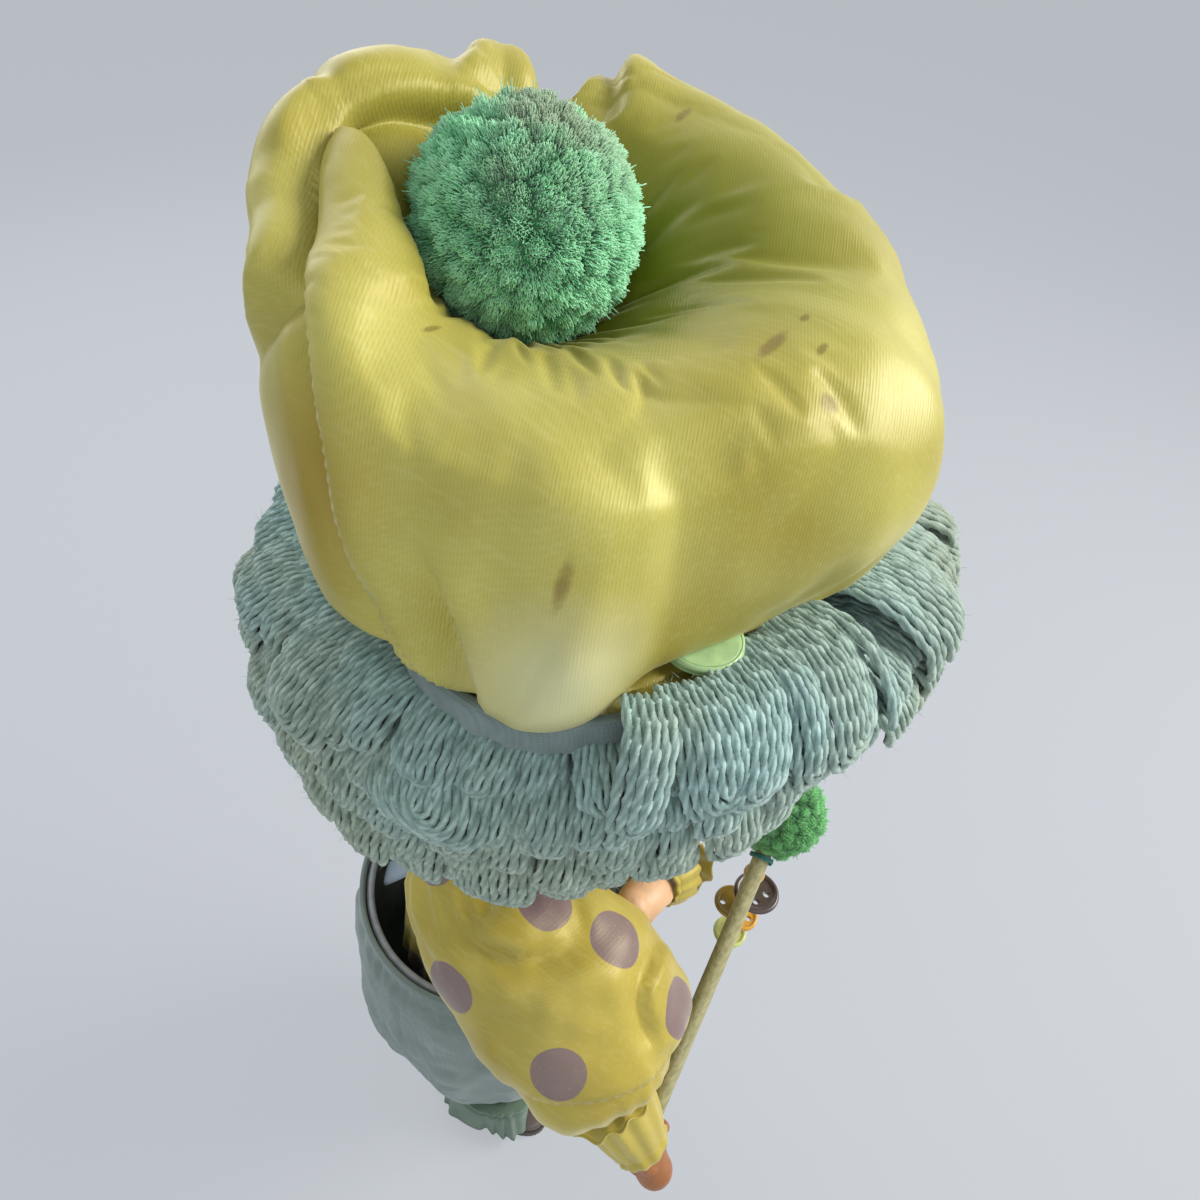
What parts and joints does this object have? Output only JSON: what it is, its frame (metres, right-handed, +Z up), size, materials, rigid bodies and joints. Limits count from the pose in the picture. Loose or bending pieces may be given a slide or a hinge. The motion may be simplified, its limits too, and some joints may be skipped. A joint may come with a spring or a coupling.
{
  "type": "clown doll",
  "caption": "Standing cloth clown doll with a looped yarn wig, puffy satin hat, baggy hooped trousers and a stick with hanging buttons; head and arms turn.",
  "frame": {"origin": "on the floor under the middle of the wig and head axis", "axes": "+Z up through the head, -Y the way the doll faces, -X to its right hand"},
  "size_m": [0.1564, 0.1569, 0.3929],
  "materials": {
    "skin": "smooth matte skin colour",
    "hand_brown": "worn brown-orange moulded hand",
    "nose_red": "smooth red nose",
    "eye": "dark glossy eye",
    "wig_cap": "thin knitted cap",
    "yarn": "looped plied yarn, pale blue-green",
    "satin_hat": "yellow satin with a fine rib and worn stains",
    "satin_shirt": "yellow satin with mauve dots",
    "band": "grey-blue cloth band",
    "pompom_mint": "trimmed mint yarn pompom, dusty on top",
    "pompom_green": "trimmed green yarn pompom",
    "disc": "pale green felt",
    "calico": "stuffed calico",
    "collar": "pale blue cloth",
    "trousers": "grey-blue-green cotton",
    "cuff": "greener cotton",
    "strap": "grey-blue cloth strap",
    "shoe": "dark brown felt",
    "sole": "dark sole",
    "wood": "pale olive dowel",
    "thread": "teal sewing thread",
    "button_brown": "dark brown button",
    "button_ochre": "ochre button",
    "button_orange": "orange-yellow button and bead",
    "button_lime": "pale green-yellow button",
    "steel": "sprung hoop wire"
  },
  "bodies": {
    "body": {"torso": "calico", "leg_right": "calico", "leg_left": "calico", "trousers": "trousers", "waist_hoop": "steel", "trouser_cuff_right": "cuff", "trouser_cuff_left": "cuff", "shoe_right": "shoe", "shoe_left": "shoe", "sole_right": "sole", "sole_left": "sole", "shirt_body": "satin_shirt", "collar": "collar", "strap_right": "strap", "strap_left": "strap"},
    "head": {"head": "skin", "nose": "nose_red", "eye_right": "eye", "eye_left": "eye", "neck_peg": "wood", "wig_cap": "wig_cap", "hair_tier_upper": "yarn", "hair_tier_middle": "yarn", "hair_tier_lower": "yarn", "hat_band": "band", "hat_crown": "satin_hat", "hat_pompom": "pompom_mint", "hat_disc": "disc"},
    "arm_right": {"arm_right": "calico", "sleeve_right": "satin_shirt", "wrist_ruffle_right": "satin_shirt", "sleeve_cuff_right": "satin_shirt", "hand_right": "hand_brown", "stick": "wood", "stick_pompom": "pompom_green", "thread_loop": "thread"},
    "arm_left": {"arm_left": "calico", "sleeve_left": "satin_shirt", "wrist_ruffle_left": "satin_shirt", "sleeve_cuff_left": "satin_shirt", "hand_left": "skin"},
    "buttons": {"button_thread": "thread", "thread_bead": "button_orange", "button_brown": "button_brown", "button_ochre": "button_ochre", "button_yellow": "button_orange", "button_green": "button_lime"}
  },
  "joints": [
    {"name": "head_turn", "type": "hinge", "parent": "body", "child": "head", "pos_m": [0, 0, 0.2375], "axis": [0, 0, 1], "range_deg": [-40, 40]},
    {"name": "shoulder_right", "type": "hinge", "parent": "body", "child": "arm_right", "pos_m": [-0.0415, 0.0053, 0.207], "axis": [-1, 0, 0], "range_deg": [-5, 30]},
    {"name": "shoulder_left", "type": "hinge", "parent": "body", "child": "arm_left", "pos_m": [0.0345, 0.0053, 0.207], "axis": [-1, 0, 0], "range_deg": [-8, 14]},
    {"name": "buttons_swing", "type": "hinge", "parent": "arm_right", "child": "buttons", "pos_m": [0.0345, -0.0578, 0.183], "axis": [-1, 0, 0], "range_deg": [-25, 25]}
  ]
}
